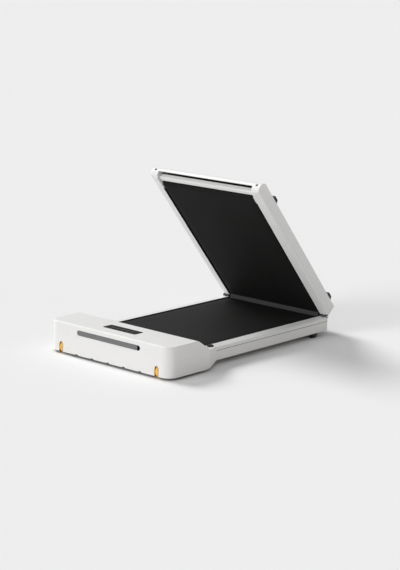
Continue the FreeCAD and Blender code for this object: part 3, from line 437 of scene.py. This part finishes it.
def display_material():
    """Smoked window with a row of dark fields under the glass; the pale lines between them are painted streaks of
    reflection.
    """
    s = Shader("smoked_window")
    low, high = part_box("display_window")
    axes = s.axes()
    fields = s.math("ADD", s.math("DIVIDE", axes["X"], FIELD_PITCH), FIELD_COUNT / 2)
    field = s.inside(s.math("FRACT", fields), 0.5, (1 - FIELD_GAP_SHARE) / 2)
    gap = s.math("SUBTRACT", 1.0, field)
    row = s.inside(axes["X"], 0.0, (FIELD_COUNT - 1) / 2 * FIELD_PITCH)
    band = s.inside(axes["Y"], (low.y + high.y) / 2, FIELD_DEPTH_SHARE * (high.y - low.y) / 2)
    shown = s.math("MULTIPLY", gap, s.math("MULTIPLY", row, band))
    return s.surface(
        Base_Color=s.tint(shown, *WINDOW_TONES_WITH_PAINTED_STREAKS),
        Roughness=s.span(s.noise(**WINDOW_GLOSS), *WINDOW_ROUGHNESS),
        Specular_IOR_Level=WINDOW_SPECULAR,
    )


def light_bar_material():
    """Grey diffuser with fine upright ribs moulded behind its face."""
    s = Shader("bar_diffuser")
    turns = s.math("MULTIPLY", s.axes()["X"], math.pi / RIB_PITCH)
    ribs = s.math("ABSOLUTE", s.math("SINE", turns))
    tone = s.blended(ribs, RIB_SHARE, s.noise(**BAR_MOTTLE), BAR_MOTTLE_SHARE)
    return s.surface(
        Base_Color=s.tint(tone, *BAR_TONES),
        Roughness=s.span(s.noise(**BAR_GLOSS), *BAR_ROUGHNESS),
        Normal=s.bump(ribs, **RIB_RELIEF),
    )


def wheel_material():
    """Amber cast polyurethane: a little light passes through it."""
    s = Shader("wheel_amber")
    return s.surface(
        Base_Color=s.tint(s.noise(**AMBER_MOTTLE), *AMBER_TONES),
        Roughness=s.span(s.noise(**AMBER_GLOSS), *AMBER_ROUGHNESS),
        Normal=s.bump(s.noise(**AMBER_GRAIN), **AMBER_RELIEF),
        Subsurface_Weight=AMBER_SUBSURFACE,
        Subsurface_Scale=AMBER_SUBSURFACE_DEPTH,
    )


def board_material():
    """Green circuit board with pale tracks."""
    s = Shader("board_green")
    tracks = s.add(
        "ShaderNodeTexBrick", Vector=s.place(), Scale=TRACK_SCALE, Mortar_Size=TRACK_WIDTH,
    )
    for socket, colour in zip(("Color1", "Color2", "Mortar"), (*BOARD_COLOURS, TRACK_COLOUR)):
        tracks.inputs[socket].default_value = colour
    return s.surface(
        Base_Color=tracks.outputs["Color"],
        Roughness=s.span(s.noise(**BOARD_GLOSS), *BOARD_ROUGHNESS),
        Normal=s.bump(tracks.outputs["Fac"], **TRACK_RELIEF),
    )


def floor_material():
    """Pale matt floor of one colour."""
    s = Shader("floor_paper")
    return s.surface(
        Base_Color=FLOOR_COLOUR,
        Roughness=s.span(s.noise(**FLOOR_GLOSS), *FLOOR_ROUGHNESS),
        Specular_IOR_Level=FLOOR_SPECULAR,
    )


def joint(name):
    return next(entry for entry in frame["joints"] if entry["name"] == name)


# Painted shade: surfaces painted black where gaps and recesses lie in shade

def rail_painted_shade(s):
    """Painted shade on the rails, in black: their inner walls, the line along the front rails, and the knuckles at
    the hinge.
    """
    low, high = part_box("front_rail_right")
    hinge = joint("fold")["pos_m"]
    axes = s.axes()
    across = s.math("ABSOLUTE", axes["X"])
    wall = s.math("LESS_THAN", across, low.x + SHADE_MASK_MARGIN)
    deep = s.inside(across, high.x - RAIL_LINE_DEPTH, SHADE_MASK_MARGIN)
    sideways = s.math("GREATER_THAN", s.math("ABSOLUTE", s.facing(AXIS_X)), SHADE_MASK_FACING)
    front_half = s.math("LESS_THAN", axes["Z"], high.z)
    line = s.math("MULTIPLY", s.math("MULTIPLY", deep, sideways), front_half)
    squares = [
        s.math("POWER", s.math("SUBTRACT", axes[axis], place), 2.0)
        for axis, place in (("Y", hinge[1]), ("Z", hinge[2]))
    ]
    reach = s.math("SQRT", s.math("ADD", *squares))
    knuckle = s.math("LESS_THAN", reach, KNUCKLE_RADIUS + SHADE_MASK_MARGIN)
    return s.math("MAXIMUM", s.math("MAXIMUM", wall, line), knuckle)


def tail_lines():
    """Directions along the raised half, from the fold to the tail, and out of its belt."""
    turn = Matrix.Rotation(math.radians(-joint("fold")["range_deg"][0]), 3, "X")
    return turn @ AXIS_Y, turn @ AXIS_Z


def below(s, node, depth):
    """1 where a place is deeper than this under the top of a piece of the raised half."""
    outward = tail_lines()[1]
    top = max(outward.dot(vertex.co) for vertex in frame["nodes"][node].data.vertices)
    return s.math("LESS_THAN", s.along(s.place(), outward), top - depth)


def guard_painted_shade(s):
    """Painted shade on the foot of the guard bar's end face, at the back of the slit above the tail cover."""
    endways = s.math("GREATER_THAN", s.facing(tail_lines()[0]), SHADE_MASK_FACING)
    return s.math("MULTIPLY", endways, below(s, "tail_guard_bar", GUARD_SHOWN))


def pocket_painted_shade(s):
    """Painted shade on the floor of the pocket behind the tail cover's wall."""
    upward = s.math("GREATER_THAN", s.facing(tail_lines()[1]), SHADE_MASK_FACING)
    return s.math("MULTIPLY", upward, below(s, "tail_cover", POCKET_DEPTH))


# Finish of each material slot

LOOKS = {
    "white_plastic": moulded("shell_white", SHELL_WHITE, SHELL_ROUGHNESS),
    # The rails' white coat carries painted shade in black on the inner walls, the front rails' line and the hinge
    # knuckles
    "white_rail": coated(
        "rail_white", ((0.80, 0.797, 0.79), (0.825, 0.822, 0.817)), rough=0.4, shade_mask=rail_painted_shade,
    ),
    "belt_rubber": belt_material(),
    "deck_board": coated("deck_film", (grey(0.018), grey(0.03)), rough=0.4),
    "black_plastic": moulded(
        "plastic_black", ((0.016, 0.016, 0.017), (0.026, 0.026, 0.027)), rough=0.62,
        grain_scale=1200.0, grain=0.3, specular=0.2,
    ),
    "zinc_steel": brushed(
        "black_zinc", ((0.03, 0.03, 0.032), (0.055, 0.055, 0.058)), rough=0.4,
        scales=(300.0, 40.0, 300.0),
    ),
    "bright_steel": brushed("ground_steel", ((0.5, 0.5, 0.51), (0.68, 0.68, 0.69)), rough=0.26),
    "black_steel": coated("black_paint", (grey(0.018), grey(0.03)), rough=0.38),
    "armature": brushed(
        "laminations", ((0.2, 0.13, 0.08), (0.36, 0.22, 0.12)), rough=0.4,
        scales=(1500.0, 30.0, 30.0),
    ),
    "drive_belt": moulded(
        "drive_rubber", (grey(0.012), grey(0.022)), rough=0.6, grain_scale=900.0, grain=0.3,
    ),
    "display_glass": display_material(),
    "light_bar": light_bar_material(),
    "circuit_board": board_material(),
    "heat_sink": brushed(
        "sink_alloy", ((0.45, 0.45, 0.47), (0.6, 0.6, 0.62)), rough=0.35,
        scales=(40.0, 40.0, 600.0),
    ),
    "capacitor": glossy("capacitor_sleeve", ((0.012, 0.012, 0.04), (0.02, 0.02, 0.06)), rough=0.2),
    "rocker": glossy("rocker_black", (grey(0.012), grey(0.02)), rough=0.25),
    "wheel_orange": wheel_material(),
    "foot_rubber": moulded(
        "rubber_black", (grey(0.012), grey(0.022)), rough=0.65,
        grain_scale=1500.0, grain=0.4, specular=0.3,
    ),
    "grey_plastic": moulded("plastic_grey", ((0.5, 0.5, 0.49), (0.58, 0.58, 0.57)), rough=0.45),
}
# The tail trims' white finish carries painted shade in black in the slit above the tail cover and the pocket
# behind its wall
TRIM_LOOKS = {
    node: moulded(node + "_white", SHELL_WHITE, SHELL_ROUGHNESS, shade_mask=trim_shade_mask)
    for node, trim_shade_mask in (("tail_guard_bar", guard_painted_shade), ("tail_cover", pocket_painted_shade))
}
SLOT_OF = {entry["node"]: entry["material_slot"] for entry in frame["record"]["subparts"]}
BODY_OF = {
    node: body
    for body, nodes in frame["record"]["behaviour"]["bodies"].items()
    for node in nodes
}


def finish_cad_nodes():
    """Each carried-over CAD node takes the finish of its slot."""
    for node, piece in frame["nodes"].items():
        piece.data.materials.clear()
        piece.data.materials.append(LOOKS[SLOT_OF[node]])


def add_piece(name, mesh, node, material=None, rides=True):
    """A new piece that stands for a CAD node and hides it, on the node's body unless rides is False.

    It takes the finish of the slot where no material is given.
    """
    piece = bpy.data.objects.new(name, mesh)
    bpy.context.scene.collection.objects.link(piece)
    piece.data.materials.clear()
    piece.data.materials.append(material or LOOKS[SLOT_OF[node]])
    if rides:
        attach(piece, BODY_OF[node])
    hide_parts(node)
    return piece


# Walking belt

class Half:
    """Side view of one half of the pad: distance from the fold along it, and level when flat."""

    def __init__(self, sign, turn_deg):
        self.hinge = Vector(joint("fold")["pos_m"])
        self.sign = sign
        self.turn = math.radians(turn_deg)

    def point(self, x, reach, level):
        flat = Vector((x, self.sign * reach, level - self.hinge.z))
        return self.hinge + Matrix.Rotation(self.turn, 3, "X") @ flat


def belt_levels():
    """Corners of the front half's belt, which lies flat, its radius at the roller and thickness."""
    low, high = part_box("belt_front")
    radius = (high.z - low.z) / 2
    thickness = radius - (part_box("front_deck_board")[1].z - (low.z + high.z) / 2)
    return low, high, radius, thickness


def belt_side_view(low, high, radius, reach_roller):
    """Outer line of the belt from the fold over the roller and back, as (reach, level)."""
    centre_level = (low.z + high.z) / 2
    steps = max(1, round(reach_roller / BELT_RUN_STEP))
    line = [(i / steps * reach_roller, high.z) for i in range(steps)]
    for i in range(BELT_TURN_STEPS + 1):
        angle = math.pi / 2 - math.pi * i / BELT_TURN_STEPS
        reach = reach_roller + radius * math.cos(angle)
        line.append((reach, centre_level + radius * math.sin(angle)))
    line += [((1 - i / steps) * reach_roller, low.z) for i in range(1, steps + 1)]
    return line


def run_lengths(line):
    """Length so far at each point of a side view's line."""
    lengths = [0.0]
    for (a, b), (c, d) in zip(line, line[1:]):
        lengths.append(lengths[-1] + math.hypot(c - a, d - b))
    return lengths


def belt_widths():
    """Places across the belt, from left to right."""
    low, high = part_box("belt_front")
    width = high.x - low.x
    return [low.x + width * i / BELT_WIDTH_STEPS for i in range(BELT_WIDTH_STEPS + 1)]


def sheet_mesh(name, rows, widths, lengths):
    """Grid through the rows of points, with a UV map in metres along (width, length)."""
    mesh = bpy.data.meshes.new(name)
    bm = bmesh.new()
    uv = bm.loops.layers.uv.new("UVMap")
    grid = [[bm.verts.new(p) for p in row] for row in rows]
    for i in range(len(rows) - 1):
        for j in range(len(widths) - 1):
            corners = ((i, j), (i, j + 1), (i + 1, j + 1), (i + 1, j))
            face = bm.faces.new([grid[a][b] for a, b in corners])
            for loop, (a, b) in zip(face.loops, corners):
                loop[uv].uv = (widths[b], lengths[a])
    bm.normal_update()
    bm.to_mesh(mesh)
    bm.free()
    return mesh


def applied(mesh, *modifiers):
    """The mesh with these modifiers, given as (type, settings), applied."""
    temporary = bpy.data.objects.new("temporary", mesh)
    bpy.context.scene.collection.objects.link(temporary)
    for kind, settings in modifiers:
        modifier = temporary.modifiers.new(kind.lower(), kind)
        for key, value in settings.items():
            setattr(modifier, key, value)
    graph = bpy.context.evaluated_depsgraph_get()
    result = bpy.data.meshes.new_from_object(
        temporary.evaluated_get(graph), preserve_all_data_layers=True, depsgraph=graph,
    )
    bpy.data.objects.remove(temporary)
    return result


def thickened(mesh, thickness):
    """A sheet given its thickness inwards, with its edges rounded."""
    rounding = {"width": BELT_EDGE, "segments": BELT_EDGE_SEGMENTS, "limit_method": "ANGLE"}
    result = applied(
        mesh,
        ("SOLIDIFY", {"thickness": thickness, "offset": -1.0}),
        ("BEVEL", rounding),
    )
    result.shade_smooth()
    result.set_sharp_from_angle(angle=BELT_SHARP_ANGLE)
    return result


def belt_half(name, half, reach_roller, reach_start, node):
    low, high, radius, thickness = belt_levels()
    side_view = belt_side_view(low, high, radius, reach_roller)
    line = [(max(reach, reach_start), level) for reach, level in side_view]
    order = belt_widths()[::-half.sign]
    rows = [[half.point(x, reach, level) for x in order] for reach, level in line]
    mesh = thickened(sheet_mesh(name, rows, order, run_lengths(line)), thickness)
    add_piece(name, mesh, node)


def walking_belt():
    """The belt over each half's roller, from the fold and back to it."""
    fold_deg = -joint("fold")["range_deg"][0]
    hinge_y = joint("fold")["pos_m"][1]
    end_gap = hinge_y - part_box("belt_front")[1].y
    front = Half(-1, 0)
    drive = joint("drive_roller_spin")["pos_m"]
    belt_half("walking_belt_front", front, hinge_y - drive[1], end_gap, "belt_front")
    rear = Half(1, fold_deg)
    tail = Vector(joint("tail_roller_spin")["pos_m"])
    flat_tail = Matrix.Rotation(-rear.turn, 3, "X") @ (tail - rear.hinge)
    belt_half("walking_belt_rear", rear, flat_tail.y, end_gap, "belt_rear")


def fold_bridge():
    """Creased strip of belt inside the fold."""
    low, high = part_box("belt_bridge")
    start, end = Vector((low.y, low.z)), Vector((high.y, high.z))
    inward = Vector((end.y - start.y, start.x - end.x)).normalized()
    line = []
    for i in range(BRIDGE_STEPS + 1):
        share = i / BRIDGE_STEPS
        sag = BRIDGE_SAG * math.sin(math.pi * share)
        crease = BRIDGE_CREASE_DEPTH * abs(math.sin(math.pi * BRIDGE_CREASES * share))
        line.append(start.lerp(end, share) + inward * (sag - crease))
    widths = belt_widths()
    rows = [[(x, y, z) for x in widths] for y, z in line]
    sheet = sheet_mesh("fold_bridge", rows, widths, run_lengths(line))
    mesh = thickened(sheet, BRIDGE_THICKNESS)
    piece = add_piece("fold_bridge", mesh, "belt_bridge", crease_material())
    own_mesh(piece)


def fold_return():
    """The belt's return run round the outside of the fold."""
    hinge = Vector(joint("fold")["pos_m"])
    low, _, _, thickness = belt_levels()
    reach = hinge.z - low.z
    fold = math.radians(-joint("fold")["range_deg"][0])
    turns = [fold * i / RETURN_STEPS for i in range(RETURN_STEPS + 1)]
    line = [
        (hinge.y + reach * math.sin(turn), hinge.z - reach * math.cos(turn)) for turn in turns
    ]
    widths = belt_widths()[::-1]
    rows = [[(x, y, z) for x in widths] for y, z in line]
    mesh = thickened(sheet_mesh("fold_return", rows, widths, run_lengths(line)), thickness)
    piece = add_piece("fold_return", mesh, "belt_wrap", rides=False)
    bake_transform(piece)


# Softened pieces

def softened(node, edge):
    """A copy of a CAD node with its flat faces made whole and its sharp edges rounded."""
    bm = bmesh.new()
    bm.from_mesh(frame["nodes"][node].data)
    bmesh.ops.remove_doubles(bm, verts=bm.verts, dist=MERGE_DISTANCE)
    bmesh.ops.dissolve_limit(bm, angle_limit=FLAT_ANGLE, verts=bm.verts, edges=bm.edges)
    bm.verts.index_update()
    corners = [vertex.co for vertex in bm.verts]
    faces = [[vertex.index for vertex in face.verts] for face in bm.faces]
    mesh = bpy.data.meshes.new(node + "_soft")
    mesh.from_pydata(corners, [], faces)
    bm.free()
    rounding = {
        "width": edge, "segments": EDGE_SEGMENTS,
        "limit_method": "ANGLE", "angle_limit": SHARP_ANGLE,
    }
    mesh = applied(mesh, ("BEVEL", rounding))
    mesh.shade_smooth()
    mesh.set_sharp_from_angle(angle=SHARP_ANGLE)
    mesh = applied(mesh, ("WEIGHTED_NORMAL", {"keep_sharp": True}))
    add_piece(node + "_soft", mesh, node, TRIM_LOOKS.get(node))


def softened_pieces():
    for node in ("rear_feet", "front_rail_feet", "housing_feet", "fold_bumpers"):
        softened(node, RUBBER_EDGE)
    for node in ("tail_axle_blocks", "tail_guard_bar", "tail_cover"):
        softened(node, TRIM_EDGE)


# Transport wheels

def wheel_profile(half, radius):
    """Closed section of a wheel, as (along the axle, from it): bore, hub, dish, crowned tread."""
    dish = half - WHEEL_DISH_DEPTH
    hub, dish_start, dish_end, rim = (share * radius for share in WHEEL_DISH_SHARES)
    side = [(half, WHEEL_BORE), (half, hub), (dish, dish_start), (dish, dish_end), (half, rim)]
    tread = []
    for i in range(WHEEL_TREAD_STEPS + 1):
        share = 1 - 2 * i / WHEEL_TREAD_STEPS
        off_grooves = [abs(share - place) for place in WHEEL_GROOVE_SHARES]
        grooved = min(off_grooves) < WHEEL_GROOVE_WIDTH_SHARE
        crown = WHEEL_CROWN * share ** WHEEL_CROWN_POWER
        tread.append((share * half, radius - crown - grooved * WHEEL_GROOVE_DEPTH))
    return side + tread + [(-x, r) for x, r in reversed(side)]


def wheel(node):
    low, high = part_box(node)
    middle = (low + high) / 2
    profile = wheel_profile((high.x - low.x) / 2, (high.z - low.z) / 2)
    bm = bmesh.new()
    rings = []
    for step in range(WHEEL_STEPS):
        angle = 2 * math.pi * step / WHEEL_STEPS
        rings.append([
            bm.verts.new(middle + Vector((x, r * math.cos(angle), r * math.sin(angle))))
            for x, r in profile
        ])
    for step in range(WHEEL_STEPS):
        here, following = rings[step], rings[(step + 1) % WHEEL_STEPS]
        for i in range(len(profile)):
            j = (i + 1) % len(profile)
            bm.faces.new((here[i], here[j], following[j], following[i]))
    bmesh.ops.recalc_face_normals(bm, faces=bm.faces)
    mesh = bpy.data.meshes.new(node + "_cast")
    bm.to_mesh(mesh)
    bm.free()
    mesh.shade_smooth()
    mesh.set_sharp_from_angle(angle=SHARP_ANGLE)
    add_piece(node + "_cast", mesh, node)


# Stage, light and camera

def stage():
    half = FLOOR_SIZE / 2
    corners = [(-half, -half, 0), (half, -half, 0), (half, half, 0), (-half, half, 0)]
    mesh = bpy.data.meshes.new("floor")
    mesh.from_pydata(corners, [], [(0, 1, 2, 3)])
    floor = bpy.data.objects.new("floor", mesh)
    bpy.context.scene.collection.objects.link(floor)
    floor.data.materials.append(floor_material())


def direction(azimuth, elevation):
    a, e = math.radians(azimuth), math.radians(elevation)
    return Vector((math.sin(a) * math.cos(e), -math.cos(a) * math.cos(e), math.sin(e)))


def sky():
    """A soft sky, which the camera and reflections see as a pale backdrop."""
    world = bpy.data.worlds.new("studio")
    bpy.context.scene.world = world
    world.use_nodes = True
    nodes, links = world.node_tree.nodes, world.node_tree.links
    axes = nodes.new("ShaderNodeSeparateXYZ")
    links.new(nodes.new("ShaderNodeTexCoord").outputs["Generated"], axes.inputs["Vector"])
    strength = nodes.new("ShaderNodeMapRange")
    for socket, value in zip(("To Min", "To Max"), SKY_STRENGTHS):
        strength.inputs[socket].default_value = value
    links.new(axes.outputs["Z"], strength.inputs["Value"])
    ramp = nodes.new("ShaderNodeValToRGB")
    ramp.color_ramp.elements[0].color = (*SKY_HORIZON_COLOUR, 1)
    ramp.color_ramp.elements[1].color = (*SKY_ZENITH_COLOUR, 1)
    links.new(axes.outputs["Z"], ramp.inputs["Fac"])
    rays = nodes.new("ShaderNodeLightPath")
    seen = rays.outputs["Is Camera Ray"]
    for kind in ("Is Glossy Ray", "Is Transmission Ray"):
        either = nodes.new("ShaderNodeMath")
        either.operation = "MAXIMUM"
        links.new(seen, either.inputs[0])
        links.new(rays.outputs[kind], either.inputs[1])
        seen = either.outputs[0]
    shown = nodes.new("ShaderNodeMix")
    links.new(seen, shown.inputs["Factor"])
    links.new(strength.outputs["Result"], shown.inputs["A"])
    shown.inputs["B"].default_value = SKY_SEEN
    links.new(ramp.outputs["Color"], nodes["Background"].inputs["Color"])
    links.new(shown.outputs["Result"], nodes["Background"].inputs["Strength"])


def lamps():
    for name, setting in LAMPS.items():
        lamp = bpy.data.lights.new(name, "SUN")
        lamp.energy = setting["strength"]
        lamp.angle = math.radians(setting["softness"])
        lamp.color = setting["colour"]
        sun = bpy.data.objects.new(name, lamp)
        towards = direction(setting["azimuth"], setting["elevation"])
        sun.rotation_euler = towards.to_track_quat("Z", "Y").to_euler()
        bpy.context.scene.collection.objects.link(sun)


def camera():
    back = direction(CAMERA_AZIMUTH, CAMERA_ELEVATION)
    right = AXIS_Z.cross(back).normalized()
    up = back.cross(right)
    roll = math.radians(CAMERA_ROLL)
    rolled_right = right * math.cos(roll) + up * math.sin(roll)
    rolled_up = up * math.cos(roll) - right * math.sin(roll)
    lens = bpy.data.cameras.new("camera")
    lens.lens = CAMERA_LENS_MM
    lens.sensor_width = CAMERA_SENSOR_MM
    lens.clip_end = FLOOR_SIZE
    shooter = bpy.data.objects.new("camera", lens)
    place = Matrix((rolled_right, rolled_up, back)).transposed().to_4x4()
    place.translation = CAMERA_TARGET + back * CAMERA_DISTANCE
    shooter.matrix_world = place
    bpy.context.scene.collection.objects.link(shooter)
    bpy.context.scene.camera = shooter


finish_cad_nodes()
walking_belt()
fold_bridge()
fold_return()
softened_pieces()
for wheel_node in ("transport_wheel_left", "transport_wheel_right"):
    wheel(wheel_node)
stage()
sky()
lamps()
camera()
bpy.context.scene.view_settings.view_transform = "Standard"
